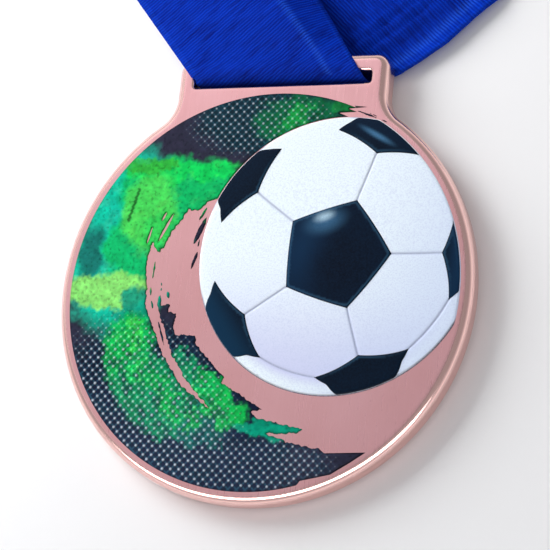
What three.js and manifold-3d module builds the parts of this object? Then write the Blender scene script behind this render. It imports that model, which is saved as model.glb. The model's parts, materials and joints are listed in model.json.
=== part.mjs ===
// Sports finisher medal: a copper-plated disc with a slotted neck, a raised printed
// face, and a woven neck ribbon that runs through the slot and is folded away behind it.
//
// Frame, in millimetres: the origin is the centre of the disc on its back face, +Z is up
// through the printed face and +Y runs from the disc to the neck. The medal lies on a
// surface with its neck resting on the ribbon, so it leans by well under a degree.

import * as THREE from 'three';
import { mergeVertices } from 'three/addons/utils/BufferGeometryUtils.js';
import Module from 'manifold-3d';

const wasm = await Module();
wasm.setup();

// Medal blank
const DISC_RADIUS = 30;
const THICKNESS = 3.8;
const NECK_HALF_WIDTH = 15.7;
const NECK_TOP = 34.1;
const NECK_CORNER = 2;
const NECK_FILLET = 5;
const SLOT_HALF_LENGTH = 13.2;
const SLOT_BOTTOM = 29.6;
const SLOT_TOP = 31.4;
const SLOT_CORNER = 0.4;
const EDGE_ROUND = 1;

// Cured ink on the face
const PRINT_RADIUS = 28.3;
const INK_GAP = 0.1;
const GROUND_INK = 0.25; // thickness of the turf and of the ball's white ground
const PATCH_INK = 0.15;

// Printed football
const BALL_CENTRE = new THREE.Vector2(10.6, 4.7);
const BALL_RADIUS = 19.75;
const PATTERN_CENTRE = new THREE.Vector2(10.55, 4.9);
const PATTERN_RADIUS = 19.4; // the pattern's limb, a little inside the white ground's edge
const BALL_VIEW = 5.3; // distance of the eye from the ball's centre, in ball radii
const BALL_INSET = 0.25; // the patches stop this far inside the white ground
const BALL_MARGIN = 0.3; // bare streak between the turf and the ball

// Ribbon
const RIBBON_WIDTH = 22;
const RIBBON_THICKNESS = 0.45;
const RIBBON_GAP = 0.3;
const LOOP_HALF_LENGTH = 12.8;
const LOOP_TAIL = 1.25; // flat ends of the slot loop, past the middle of the bar
const STRAP_START = 2; // straps start this far past the middle of the bar
const FRONT_LEAN = 38.5; // degrees from +Y, to the left
const BACK_LEAN = 45; // degrees from +Y, to the right
const FRONT_OFFSET = -0.9; // where each strap's middle crosses the bar's axis
const BACK_OFFSET = 4;

// Folded bundle of the rest of the ribbon
const BUNDLE_Y = 65;
const BUNDLE_LEFT = -37.8;
const BUNDLE_RIGHT = 46.8;
const BUNDLE_ROUND = 1.2;
const LAP_X = 25;
const LAP_LENGTH = 14;
const LAP_GAP = 0.1;
const STITCH = { width: 0.35, height: 0.15, inset: 2 };
const TIE = { x: 3, width: 3, thickness: 0.35, gap: 0.2 };

// Worked out from the above
const INK_Z = THICKNESS + INK_GAP;
const PATCH_Z = INK_Z + GROUND_INK + INK_GAP;
const BAR_Y = (SLOT_TOP + NECK_TOP) / 2;
const BAR_HALF_WIDTH = (NECK_TOP - SLOT_TOP) / 2;
const REST_EDGE = DISC_RADIUS - EDGE_ROUND;
const LEAN = Math.asin((RIBBON_GAP + RIBBON_THICKNESS) / (BAR_Y + REST_EDGE));
const SURFACE_Z = -REST_EDGE * Math.sin(LEAN);
const BAR_AXIS = new THREE.Vector2(
  BAR_Y * Math.cos(LEAN) - (THICKNESS / 2) * Math.sin(LEAN),
  BAR_Y * Math.sin(LEAN) + (THICKNESS / 2) * Math.cos(LEAN),
);
const FRONT_Z = BAR_AXIS.y + THICKNESS / 2 + RIBBON_GAP;
const BACK_Z = BAR_AXIS.y - THICKNESS / 2 - RIBBON_GAP - RIBBON_THICKNESS;
const BUNDLE_BOTTOM = BACK_Z + RIBBON_THICKNESS + RIBBON_GAP;
const BUNDLE_TOP = FRONT_Z - RIBBON_GAP;

const materials = {
  copper: { color: 0xc8968f, roughness: 0.32, metalness: 1 },
  fieldInk: { color: 0x1f7a4c, roughness: 0.45, metalness: 0 },
  whiteInk: { color: 0xeaf4fb, roughness: 0.35, metalness: 0 },
  blackInk: { color: 0x0c2136, roughness: 0.25, metalness: 0 },
  cloth: { color: 0x0a2ab0, roughness: 0.75, metalness: 0 },
  thread: { color: 0x2a4fd0, roughness: 0.7, metalness: 0 },
  rubber: { color: 0xd8d2c4, roughness: 0.6, metalness: 0 },
};

const degrees = THREE.MathUtils.degToRad;

// Turns a section drawn flat, and extruded along Z, so that it is extruded along X.
const SECTION_ALONG_X = new THREE.Matrix4().makeBasis(
  new THREE.Vector3(0, 1, 0),
  new THREE.Vector3(0, 0, 1),
  new THREE.Vector3(1, 0, 0),
);

function named(name, geometry, look) {
  const mesh = new THREE.Mesh(geometry, new THREE.MeshStandardMaterial(look));
  mesh.name = name;
  return mesh;
}

// Points along an arc, both ends included. Angles are in degrees.
function arc(centre, radius, from, to, steps) {
  return Array.from({ length: steps + 1 }, (_, i) => {
    const angle = degrees(from + ((to - from) * i) / steps);
    return new THREE.Vector2(
      centre.x + radius * Math.cos(angle),
      centre.y + radius * Math.sin(angle),
    );
  });
}

function points(list) {
  return list.map(([x, y]) => new THREE.Vector2(x, y));
}

function slab(outline, depth, z = 0) {
  const geometry = new THREE.ExtrudeGeometry(new THREE.Shape(outline), {
    depth,
    bevelEnabled: false,
  });
  return geometry.translate(0, 0, z);
}

function solidOf(geometry) {
  const bare = geometry.clone();
  bare.deleteAttribute('normal');
  bare.deleteAttribute('uv');
  const merged = mergeVertices(bare, 1e-5);
  return new wasm.Manifold(new wasm.Mesh({
    numProp: 3,
    vertProperties: new Float32Array(merged.attributes.position.array),
    triVerts: new Uint32Array(merged.index.array),
  }));
}

function geometryOf(solid) {
  const mesh = solid.getMesh();
  const geometry = new THREE.BufferGeometry();
  geometry.setAttribute('position', new THREE.BufferAttribute(mesh.vertProperties, 3));
  geometry.setIndex(new THREE.BufferAttribute(mesh.triVerts, 1));
  return geometry;
}

function roundedRectangle(halfLength, halfWidth, radius, centre) {
  const corners = [[1, 1, 0], [-1, 1, 90], [-1, -1, 180], [1, -1, 270]];
  return corners.flatMap(([sx, sy, from]) => arc(
    {
      x: centre.x + sx * (halfLength - radius),
      y: centre.y + sy * (halfWidth - radius),
    },
    radius,
    from,
    from + 90,
    3,
  ));
}

// A round-cornered rectangular frame about the origin, with the given inner half sizes.
function frame(halfLength, halfWidth, rim, depth) {
  const middle = { x: 0, y: 0 };
  const outer = roundedRectangle(halfLength + rim, halfWidth + rim, 2 * rim, middle);
  const shape = new THREE.Shape(outer);
  shape.holes.push(new THREE.Path(roundedRectangle(halfLength, halfWidth, rim, middle)));
  return new THREE.ExtrudeGeometry(shape, { depth, bevelEnabled: false });
}

// The disc and its neck: straight sides and concave fillets that run into the disc.
function blankOutline() {
  const side = NECK_HALF_WIDTH + NECK_FILLET;
  const height = Math.sqrt((DISC_RADIUS + NECK_FILLET) ** 2 - side ** 2);
  const meet = THREE.MathUtils.radToDeg(Math.atan2(height, side));
  const corner = NECK_HALF_WIDTH - NECK_CORNER;
  const cornerY = NECK_TOP - NECK_CORNER;
  return [
    ...arc({ x: corner, y: cornerY }, NECK_CORNER, 0, 90, 6),
    ...arc({ x: -corner, y: cornerY }, NECK_CORNER, 90, 180, 6),
    ...arc({ x: -side, y: height }, NECK_FILLET, 0, -meet, 6),
    ...arc({ x: 0, y: 0 }, DISC_RADIUS, 180 - meet, 360 + meet, 84).slice(1, -1),
    ...arc({ x: side, y: height }, NECK_FILLET, 180 + meet, 180, 6),
  ];
}

function medalBlank() {
  const body = new THREE.ExtrudeGeometry(new THREE.Shape(blankOutline()), {
    depth: THICKNESS - 2 * EDGE_ROUND,
    bevelThickness: EDGE_ROUND,
    bevelSize: EDGE_ROUND,
    bevelOffset: -EDGE_ROUND,
    bevelSegments: 3,
  }).translate(0, 0, EDGE_ROUND);
  const slotOutline = roundedRectangle(
    SLOT_HALF_LENGTH,
    (SLOT_TOP - SLOT_BOTTOM) / 2,
    SLOT_CORNER,
    { x: 0, y: (SLOT_TOP + SLOT_BOTTOM) / 2 },
  );
  const overrun = 1;
  const slot = slab(slotOutline, THICKNESS + 2 * overrun, -overrun);
  return named(
    'medal_blank',
    geometryOf(solidOf(body).subtract(solidOf(slot))),
    materials.copper,
  );
}

// The printed turf: bounded by the print circle outside, and by brush strokes and the
// ball inside. A thin streak of bare metal runs down between its inner stroke and the rest.
function fieldOutline() {
  return [
    ...arc({ x: 0, y: 0 }, PRINT_RADIUS, 57, 308, 60),
    ...points([
      [11.7, -22.6], [11.2, -22.2], [6.8, -21.4], [3.4, -20.3], [7.8, -20.1],
      [8.4, -19.5], [1.5, -18.2], [0.9, -17.4], [2.4, -17.0], [-3.8, -13.5],
      [-3.6, -12.8], [-8.0, -8.7], [-8.5, -7.0], [-11.8, -6.6], [-12.9, -4.5],
      [-14.2, -0.5], [-14.8, -2.4], [-14.3, -5.6], [-12.6, -9.4], [-9.6, -13.6],
      [-5.7, -17.3], [-9.6, -14.5], [-13.4, -9.8], [-15.3, -6.0], [-16.2, -2.0],
      [-16.8, 1.7], [-16.8, 4.2], [-15.7, 6.2], [-14.0, 8.0], [-12.2, 10.2],
      [-10.4, 11.5], [-8.7, 12.2],
    ]),
    ...arc(BALL_CENTRE, BALL_RADIUS + BALL_MARGIN, 158, 82, 14),
  ];
}

function fieldInk() {
  const outline = fieldOutline();
  return named('ink_field', slab(outline, GROUND_INK, INK_Z), materials.fieldInk);
}

// The ball's outline, cut short on the right by the print circle. inset moves it inwards.
function ballOutline(inset) {
  const radius = BALL_RADIUS - inset;
  const limit = PRINT_RADIUS - inset;
  const reach = BALL_CENTRE.length();
  const towards = THREE.MathUtils.radToDeg(BALL_CENTRE.angle());
  const cosine = (limit ** 2 - reach ** 2 - radius ** 2) / (2 * reach * radius);
  const half = THREE.MathUtils.radToDeg(Math.acos(cosine));
  const ballArc = arc(BALL_CENTRE, radius, towards + half, towards + 360 - half, 56);
  const ends = [ballArc.at(-1), ballArc[0]];
  const [from, to] = ends.map((p) => Math.atan2(p.y, p.x) * THREE.MathUtils.RAD2DEG);
  return [...ballArc, ...arc({ x: 0, y: 0 }, limit, from, to, 20).slice(1, -1)];
}

// Where a point of the ball shows on the face: a sphere seen from BALL_VIEW radii away,
// scaled so that its limb falls on the pattern's outline.
function onFace(direction) {
  const limb = 1 / BALL_VIEW;
  const height = Math.max(direction.z, limb);
  const scale = Math.sqrt(BALL_VIEW ** 2 - 1) / (BALL_VIEW - height);
  const across = new THREE.Vector2(direction.x, direction.y);
  across.setLength(Math.sqrt(1 - height ** 2) * scale * PATTERN_RADIUS);
  return across.add(PATTERN_CENTRE);
}

// A truncated icosahedron's pentagons: one faces the viewer and five stand round it.
const PENTAGON_REACH = Math.asin(0.8507 / 2.478); // centre to corner, per edge of 1
const PENTAGON_STEP = Math.atan(2); // centre to the next centre

// place is -1 for the middle pentagon, and 0 to 4 round it, starting at the right.
function pentagonCorners(place) {
  const lean = place < 0 ? 0 : PENTAGON_STEP;
  const turn = place < 0 ? 0 : degrees(72 * place);
  const start = place < 0 ? 0 : Math.PI;
  return Array.from({ length: 5 }, (_, i) => {
    const angle = start + degrees(72 * i);
    return new THREE.Vector3(
      Math.sin(PENTAGON_REACH) * Math.cos(angle),
      Math.sin(PENTAGON_REACH) * Math.sin(angle),
      Math.cos(PENTAGON_REACH),
    ).applyAxisAngle(new THREE.Vector3(0, 1, 0), lean)
      .applyAxisAngle(new THREE.Vector3(0, 0, 1), turn);
  });
}

function pentagonOutline(place) {
  const corners = pentagonCorners(place);
  const steps = 4;
  return corners.flatMap((corner, i) => {
    const next = corners[(i + 1) % corners.length];
    return Array.from({ length: steps }, (_, s) => (
      onFace(corner.clone().lerp(next, s / steps).normalize())
    ));
  });
}

function ballGround() {
  const outline = ballOutline(0);
  return named('ball_ground', slab(outline, GROUND_INK, INK_Z), materials.whiteInk);
}

function ballPatches() {
  const places = ['middle', 'right', 'upper_right', 'upper_left', 'lower_left', 'bottom'];
  const inside = solidOf(slab(ballOutline(BALL_INSET), 2 * THICKNESS));
  return places.map((place, i) => {
    const patch = solidOf(slab(pentagonOutline(i - 1), PATCH_INK, PATCH_Z));
    const shown = geometryOf(patch.intersect(inside));
    return named(`ball_patch_${place}`, shown, materials.blackInk);
  });
}

// The ribbon where it wraps the bar: over it, down through the slot and back underneath.
function slotLoop() {
  const corner = { x: -BAR_HALF_WIDTH, y: THICKNESS / 2 };
  const below = { x: corner.x, y: -corner.y };
  const outerGap = RIBBON_GAP + RIBBON_THICKNESS;
  const outline = [
    ...points([[LOOP_TAIL, corner.y + RIBBON_GAP], [LOOP_TAIL, corner.y + outerGap]]),
    ...arc(corner, outerGap, 90, 180, 4),
    ...arc(below, outerGap, 180, 270, 4),
    ...points([[LOOP_TAIL, below.y - outerGap], [LOOP_TAIL, below.y - RIBBON_GAP]]),
    ...arc(below, RIBBON_GAP, 270, 180, 3),
    ...arc(corner, RIBBON_GAP, 180, 90, 3),
  ];
  const geometry = slab(outline, 2 * LOOP_HALF_LENGTH, -LOOP_HALF_LENGTH);
  geometry.applyMatrix4(SECTION_ALONG_X);
  const mesh = named('ribbon_slot_loop', geometry, materials.cloth);
  mesh.position.set(0, BAR_AXIS.x, BAR_AXIS.y);
  return mesh;
}

// A flat strap from beside the bar to the bundle's middle line, where it folds over.
// lean is positive to the right; fold is the direction that the ribbon takes next.
function strapOutline(lean, offset, fold) {
  const along = new THREE.Vector2(Math.sin(degrees(lean)), Math.cos(degrees(lean)));
  const side = new THREE.Vector2(along.y, -along.x).multiplyScalar(RIBBON_WIDTH / 2);
  const crease = along.clone().add(new THREE.Vector2(fold, 0));
  const startY = BAR_AXIS.x + STRAP_START;
  const middle = new THREE.Vector2(offset, BAR_AXIS.x);
  const end = middle.clone().addScaledVector(along, (BUNDLE_Y - middle.y) / along.y);
  // Where the strap's edge on one side crosses the start line and the crease.
  const edge = (sign) => {
    const from = middle.clone().addScaledVector(side, sign);
    const near = from.clone().addScaledVector(along, (startY - from.y) / along.y);
    const gap = from.clone().sub(end);
    const run = -gap.cross(crease) / along.cross(crease);
    return [near, from.clone().addScaledVector(along, run)];
  };
  const [right, left] = [edge(1), edge(-1)];
  return [right[0], right[1], left[1], left[0]];
}

function frontStrap() {
  const outline = strapOutline(-FRONT_LEAN, FRONT_OFFSET, 1);
  return named('ribbon_front_strap', slab(outline, RIBBON_THICKNESS, FRONT_Z), materials.cloth);
}

function backStrap() {
  const outline = strapOutline(BACK_LEAN, BACK_OFFSET, -1);
  return named('ribbon_back_strap', slab(outline, RIBBON_THICKNESS, BACK_Z), materials.cloth);
}

// The folded layers, whose outline stands in the XZ plane.
function bundle() {
  const outline = roundedRectangle(
    (BUNDLE_RIGHT - BUNDLE_LEFT) / 2,
    (BUNDLE_TOP - BUNDLE_BOTTOM) / 2,
    BUNDLE_ROUND,
    { x: (BUNDLE_LEFT + BUNDLE_RIGHT) / 2, y: (BUNDLE_TOP + BUNDLE_BOTTOM) / 2 },
  );
  const geometry = slab(outline, RIBBON_WIDTH)
    .rotateX(Math.PI / 2)
    .translate(0, BUNDLE_Y + RIBBON_WIDTH / 2, 0);
  return named('ribbon_bundle', geometry, materials.cloth);
}

// The sewn end of the ribbon, lapped over the bundle's top layer.
const LAP_Z = BUNDLE_TOP + LAP_GAP;

function lap() {
  const geometry = new THREE.BoxGeometry(LAP_LENGTH, RIBBON_WIDTH, RIBBON_THICKNESS)
    .translate(LAP_X, BUNDLE_Y, LAP_Z + RIBBON_THICKNESS / 2);
  return named('ribbon_lap', geometry, materials.cloth);
}

// The line of lock stitches that closes the loop: a box sewn through the lap.
function lapStitching() {
  const { width, height, inset } = STITCH;
  const geometry = frame(
    LAP_LENGTH / 2 - inset - width,
    RIBBON_WIDTH / 2 - inset - width,
    width,
    height,
  ).translate(LAP_X, BUNDLE_Y, LAP_Z + RIBBON_THICKNESS + LAP_GAP);
  return named('lap_stitching', geometry, materials.thread);
}

// The elastic band that holds the folded layers together.
function tieBand() {
  const geometry = frame(
    RIBBON_WIDTH / 2 + TIE.gap,
    (BUNDLE_TOP - BUNDLE_BOTTOM) / 2 + TIE.gap,
    TIE.thickness,
    TIE.width,
  ).applyMatrix4(SECTION_ALONG_X);
  const mesh = named('tie_band', geometry, materials.rubber);
  mesh.position.set(TIE.x, BUNDLE_Y, (BUNDLE_TOP + BUNDLE_BOTTOM) / 2);
  return mesh;
}

const medal = new THREE.Group();
medal.rotation.x = LEAN;
medal.add(medalBlank(), fieldInk(), ballGround(), ...ballPatches());

const ribbon = new THREE.Group();
ribbon.add(
  slotLoop(),
  frontStrap(),
  backStrap(),
  bundle(),
  lap(),
  lapStitching(),
  tieBand(),
);

const finisherMedal = new THREE.Group();
finisherMedal.add(medal, ribbon);

export default finisherMedal;
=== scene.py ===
"""Looks for the sports finisher medal: a rose-copper blank with a raised printed face and
a royal blue grosgrain ribbon. Lengths are in millimetres until they reach a mesh."""

import json
import math

import bmesh
import bpy
import numpy as np
from mathutils import Matrix, Vector, noise
from mathutils.geometry import delaunay_2d_cdt


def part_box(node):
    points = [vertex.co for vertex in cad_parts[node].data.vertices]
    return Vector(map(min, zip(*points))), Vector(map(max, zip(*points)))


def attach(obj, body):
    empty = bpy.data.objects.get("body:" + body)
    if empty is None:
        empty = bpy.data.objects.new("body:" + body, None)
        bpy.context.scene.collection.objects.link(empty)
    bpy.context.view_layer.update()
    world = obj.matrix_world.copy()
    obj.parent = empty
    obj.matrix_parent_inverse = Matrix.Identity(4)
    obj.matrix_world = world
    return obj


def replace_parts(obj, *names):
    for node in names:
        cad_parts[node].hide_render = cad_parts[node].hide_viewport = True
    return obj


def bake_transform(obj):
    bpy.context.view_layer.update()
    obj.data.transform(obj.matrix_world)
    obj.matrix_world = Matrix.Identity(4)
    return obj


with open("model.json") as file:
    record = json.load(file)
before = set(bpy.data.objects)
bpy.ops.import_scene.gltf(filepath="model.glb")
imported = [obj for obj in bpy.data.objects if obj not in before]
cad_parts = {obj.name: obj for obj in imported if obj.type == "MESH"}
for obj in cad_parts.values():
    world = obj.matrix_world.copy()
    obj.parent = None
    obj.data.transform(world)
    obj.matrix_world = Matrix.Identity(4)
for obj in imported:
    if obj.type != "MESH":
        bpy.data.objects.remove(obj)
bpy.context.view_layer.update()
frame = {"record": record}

MM = 0.001
RECORD = frame["record"]
REST_AXIS = Vector(RECORD["mounts"][0]["axis"])
LEAN = math.asin(REST_AXIS.y)
MEDAL = Matrix.Rotation(LEAN, 4, "X")
SWING = RECORD["behaviour"]["joints"][0]
BAR_Y, BAR_Z = SWING["pos_m"][1] / MM, SWING["pos_m"][2] / MM


def box_mm(node):
    """A CAD node's lowest and highest corners at rest, in millimetres."""
    return tuple(np.array(corner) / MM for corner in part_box(node))


# The medal blank's own sizes, level on its back face
THICKNESS = 3.8
DISC_RADIUS = 30.0
NECK_HALF_WIDTH = 15.7
NECK_TOP = 34.1
NECK_CORNER = 2.0
NECK_FILLET = 5.0
SLOT_HALF_LENGTH = 13.2
SLOT_BOTTOM = 29.6
SLOT_TOP = 31.4
SLOT_CORNER = 0.4
EDGE_ROUND = 1.2
SLOT_ROUND = 0.4

# The printed face
PRINT_RADIUS = 28.3
INK = 0.14
PATCH_INK = 0.1
BALL_INK = INK + 0.04
BALL_GAP = 0.06  # between the ball's outline and the turf
SUNK = 0.02  # how far each ink layer reaches into what is under it
BALL_CENTRE = np.array([10.6, 4.7])
BALL_RADIUS = 19.75
PATTERN_CENTRE = np.array([10.5, 4.7])
PATTERN_LIMB = np.array([10.7, 5.3])  # the middle of the pattern's own outline
PATTERN_RADIUS = 19.25
DOT_PITCH = 1.22
DOT_CLEAR = 0.26  # from a dot's middle to the turf's edge

# The ribbon
RIBBON_WIDTH = 22.0
CLOTH = 0.36
RIB_PITCH = 0.44
THREAD_PITCH = 0.3
SELVEDGE = 0.9


# ---- mesh helpers

def make_object(name, vertices, faces, smooth=True):
    """A mesh object from vertices in millimetres in the row frame."""
    mesh = bpy.data.meshes.new(name)
    mesh.from_pydata([tuple(c * MM for c in v) for v in vertices], [], faces)
    mesh.polygons.foreach_set("use_smooth", [smooth] * len(mesh.polygons))
    mesh.update()
    made = bpy.data.objects.new(name, mesh)
    bpy.context.scene.collection.objects.link(made)
    return made


def on_medal(vertices):
    """Vertices given level on the medal's back face, leaned as the medal leans."""
    turned = np.array(MEDAL.to_3x3())
    return np.asarray(vertices, float) @ turned.T


def add_attribute(made, name, values):
    """A number, or a colour of three numbers, for each vertex."""
    values = np.asarray(values, np.float32)
    if values.ndim == 1:
        made.data.attributes.new(name, "FLOAT", "POINT").data.foreach_set("value", values)
        return
    rgba = np.column_stack([values, np.ones(len(values), np.float32)])
    colours = made.data.color_attributes.new(name, "FLOAT_COLOR", "POINT")
    colours.data.foreach_set("color", rgba.ravel())


def wall_faces(start, rings, count, flip=False):
    """Quads between neighbouring rings of count vertices each, numbered from start."""
    faces = []
    for k in range(rings - 1):
        for i in range(count):
            a, b = start + k * count + i, start + k * count + (i + 1) % count
            quad = (a, b, b + count, a + count)
            faces.append(quad[::-1] if flip else quad)
    return faces


def arc(centre, radius, start, end, steps):
    """Points along an arc, both ends included. Angles are in degrees."""
    turn = np.radians(np.linspace(start, end, steps + 1))
    return np.stack([centre[0] + radius * np.cos(turn), centre[1] + radius * np.sin(turn)], 1)


def rounded_box(middle_y, half, radius, steps):
    """A box's outline with arcs at its corners, anticlockwise."""
    x, y = half[0] - radius, half[1] - radius
    corners = [(x, y, 0), (-x, y, 90), (-x, -y, 180), (x, -y, 270)]
    return np.concatenate([
        arc((cx, middle_y + cy), radius, start, start + 90, steps) for cx, cy, start in corners])


def sides_of(loop, closed=True):
    """Each side of a loop, or of a path if not closed, as its two ends."""
    return zip(loop, np.roll(loop, -1, axis=0) if closed else loop[1:])


def leftwards(directions):
    """Unit vectors square to some directions, to their left."""
    unit = directions / np.hypot(*directions.T)[:, None]
    return np.stack([-unit[:, 1], unit[:, 0]], 1)


def densified(loop, step, closed=True):
    """A loop, or a path if not closed, with points added so that no gap is over step."""
    out = []
    for a, b in sides_of(loop, closed):
        n = max(1, math.ceil(np.hypot(*(b - a)) / step))
        out += [a + (b - a) * i / n for i in range(n)]
    return np.array(out)


def inside(points, loop):
    """Which points lie inside a closed loop, by counting crossings."""
    x, y = points[:, 0], points[:, 1]
    found = np.zeros(len(points), bool)
    for (ax, ay), (bx, by) in sides_of(loop):
        if ay != by:
            spans = (ay > y) != (by > y)
            found ^= spans & (x < (bx - ax) * (y - ay) / (by - ay) + ax)
    return found


def within(points, loops):
    """Which points lie inside the area between loops, where a nested loop is a hole."""
    found = np.zeros(len(points), bool)
    for loop in loops:
        found ^= inside(points, loop)
    return found


def edge_distance(points, loops, closed=True):
    """Distance from each point to the nearest side of any loop, or of any open path."""
    best = np.full(len(points), np.inf)
    for loop in loops:
        for a, b in sides_of(loop, closed):
            side = b - a
            along = np.clip((points - a) @ side / max(side @ side, 1e-12), 0, 1)
            best = np.minimum(best, np.hypot(*(points - a - along[:, None] * side).T))
    return best


def triangulated(loops, spacing, margin, extra=None):
    """Triangles over the area between loops (each nested one is a hole), with a hexagonal
    grid of points inside, kept margin away from the loops, and any extra points given."""
    border = np.concatenate(loops)
    low, high = border.min(0), border.max(0)
    rows = np.arange(low[1], high[1], spacing * math.sqrt(3) / 2)
    grid = np.array([
        (x + spacing * 0.5 * (i % 2), y)
        for i, y in enumerate(rows)
        for x in np.arange(low[0], high[0], spacing)
    ])
    grid = grid[within(grid, loops)]
    grid = grid[edge_distance(grid, loops) > margin]
    if extra is not None:
        near = edge_distance(grid, extra[:, None]) < spacing * 0.5
        grid = np.concatenate([extra, grid[~near]])
    edges, start = [], 0
    for loop in loops:
        n = len(loop)
        edges += [(start + i, start + (i + 1) % n) for i in range(n)]
        start += n
    points = [Vector(p) for p in np.concatenate([border, grid])]
    flat, _, triangles, _, _, _ = delaunay_2d_cdt(points, edges, [], 0, 1e-6)
    flat = np.array([tuple(p) for p in flat])
    triangles = np.array([t for t in triangles if len(t) == 3])
    triangles = triangles[within(flat[triangles].mean(1), loops)]
    a, b, c = (flat[triangles[:, i]] for i in range(3))
    turned = (b[:, 0] - a[:, 0]) * (c[:, 1] - a[:, 1]) - (b[:, 1] - a[:, 1]) * (c[:, 0] - a[:, 0])
    triangles[turned < 0] = triangles[turned < 0][:, ::-1]
    return flat, triangles


def ragged(loop, size, seed, step=0.22, closed=True):
    """A loop or path with its sides shaken by smooth noise, as a dry brush leaves them."""
    fine = densified(loop, step, closed)
    out = []
    for before, p, after in zip(np.roll(fine, 1, axis=0), fine, np.roll(fine, -1, axis=0)):
        side = after - before
        across = np.array([side[1], -side[0]]) / max(np.hypot(*side), 1e-9)
        shake = noise.noise(Vector((p[0] * 1.7, p[1] * 1.7, seed)))
        shake += 0.6 * noise.noise(Vector((p[0] * 4.1, p[1] * 4.1, seed + 9)))
        out.append(p + across * size * shake)
    return np.array(out)


# ---- camera

CAMERA_DISTANCE = 0.260  # in metres, from the middle of the medal's face


def make_camera():
    """The medal seen from 26 degrees off its face's normal, towards its lower right."""
    tilt, azimuth, roll = math.radians(26.05), math.radians(-36.7), math.radians(6.17)
    towards = Vector((
        math.sin(tilt) * math.cos(azimuth),
        math.sin(tilt) * math.sin(azimuth),
        math.cos(tilt),
    ))
    right = Vector((0, 1, 0)).cross(towards).normalized()
    level = Matrix((right, towards.cross(right), towards)).transposed()
    turned = MEDAL.to_3x3() @ level @ Matrix.Rotation(roll, 3, "Z")
    looked_at = MEDAL @ Vector((0, 0, THICKNESS * MM))
    data = bpy.data.cameras.new("camera")
    data.sensor_width = 36
    data.lens = 124.8
    data.shift_x, data.shift_y = 0.030, 0.022
    data.clip_start = 0.01
    camera = bpy.data.objects.new("camera", data)
    camera.matrix_world = turned.to_4x4()
    camera.location = looked_at + turned @ Vector((0, 0, CAMERA_DISTANCE))
    bpy.context.scene.collection.objects.link(camera)
    bpy.context.scene.camera = camera


make_camera()


# ---- ribbon

FLOOR_Z = box_mm("ribbon_back_strap")[0][2]
FRONT_Z = box_mm("ribbon_front_strap")[1][2] - CLOTH / 2
BACK_Z = FLOOR_Z + CLOTH / 2
BUNDLE_LOW, BUNDLE_HIGH = box_mm("ribbon_bundle")
BUNDLE_Y = (BUNDLE_LOW[1] + BUNDLE_HIGH[1]) / 2
LAP_LOW, LAP_HIGH = box_mm("ribbon_lap")
LAYERS = 9
LAYER_STEP = (FRONT_Z - BACK_Z) / (LAYERS + 1)
FOLD_RADIUS = LAYER_STEP / 2
LAP_GAP = 0.06  # between the two sewn ends
LAP_TOP = FRONT_Z - LAYER_STEP + CLOTH * 1.5 + LAP_GAP
ROW_STEP = 0.6
PAST_FOLD = 16.0  # how far the ribbon runs on from its diagonal creases into the bundle
HALF = RIBBON_WIDTH / 2
COLUMNS = 28
ACROSS = np.linspace(-HALF, HALF, COLUMNS + 1)
SHARE = np.linspace(0, 1, COLUMNS + 1)
CREASE_SHARE = 0.75  # how far across the front leg its lengthways crease runs
CREASE_AT_SLOT = 0.82  # the same where the leg is gathered into the slot


def leaning(angle, sign):
    """A direction leaning from +Y by angle, to the left where sign is -1, and its right."""
    along = np.array([sign * math.sin(angle), math.cos(angle)])
    return along, np.array([along[1], -along[0]])


FRONT_ALONG, FRONT_SIDE = leaning(math.radians(39.0), -1)
BACK_ALONG, BACK_SIDE = leaning(math.radians(45.0), 1)
FRONT_CORNER = np.array([-12.7, 30.0])  # on the front leg's left edge, at the slot
BACK_CORNER = np.array([29.5, 42.9])  # on the back leg's right edge
FRONT_REACH = 24.0  # how far up the front leg its shaped part goes
GATHERED_RUN = 22.6 * np.array([-0.545, 0.838])  # its right edge, if it stayed gathered
PEAK = np.minimum(SHARE / CREASE_SHARE, (1 - SHARE) / (1 - CREASE_SHARE))
PEAK_AT_BAR = 0.5  # how far the front leg's crease stands up where it crosses the bar
PUCKER = 0.05 * np.sin(SHARE * 37 + 4 * np.sin(SHARE * 9))  # small waves where it is gathered


def smooth(x, low, high):
    """0 up to low, 1 from high, and a smooth step between them."""
    t = np.clip((x - low) / (high - low), 0, 1)
    return t * t * (3 - 2 * t)


def creased_shares(crease):
    """How far across each column stands where the crease runs that far across."""
    return np.where(
        SHARE < CREASE_SHARE,
        SHARE * crease / CREASE_SHARE,
        crease + (SHARE - CREASE_SHARE) / (1 - CREASE_SHARE) * (1 - crease),
    )


def cloth_row(x, y, z):
    """One row across the ribbon. A single number holds right across it."""
    return np.stack(np.broadcast_arrays(x, y, z), 1)


def flat_row(middle, side, z):
    """One row across the ribbon where it lies flat."""
    return cloth_row(*(middle + ACROSS[:, None] * side).T, z)


def folded_rows(start, along, side, z, turn, rise):
    """Rows from start to a diagonal crease on the bundle's middle line and past it, where
    the ribbon runs on along X in the direction turn, one layer up or down by rise."""
    reach = (BUNDLE_Y - start[1]) / along[1]
    crease_point = start + reach * along
    crease = along + np.array([turn, 0.0])
    crease /= np.hypot(*crease)
    forwards = along - (along @ crease) * crease
    forwards /= np.hypot(*forwards)
    rows = []
    for s in np.arange(0, reach + PAST_FOLD, ROW_STEP):
        row = flat_row(start + s * along, side, z)
        past = (row[:, :2] - crease_point) @ forwards
        angle = np.clip(past / FOLD_RADIUS, 0, math.pi)
        wrapped = np.where(past > 0, FOLD_RADIUS * np.sin(angle), past)
        over = np.maximum(past - math.pi * FOLD_RADIUS, 0)
        row[:, :2] += (wrapped - over - past)[:, None] * forwards
        row[:, 2] += rise * FOLD_RADIUS * (1 - np.cos(angle))
        rows.append(row)
    return rows


def layer_row(x, z, flip):
    """One row of a layer in the bundle, whose left edge is on the far side if flip is -1."""
    return cloth_row(x, BUNDLE_Y + flip * ACROSS, z)


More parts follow.
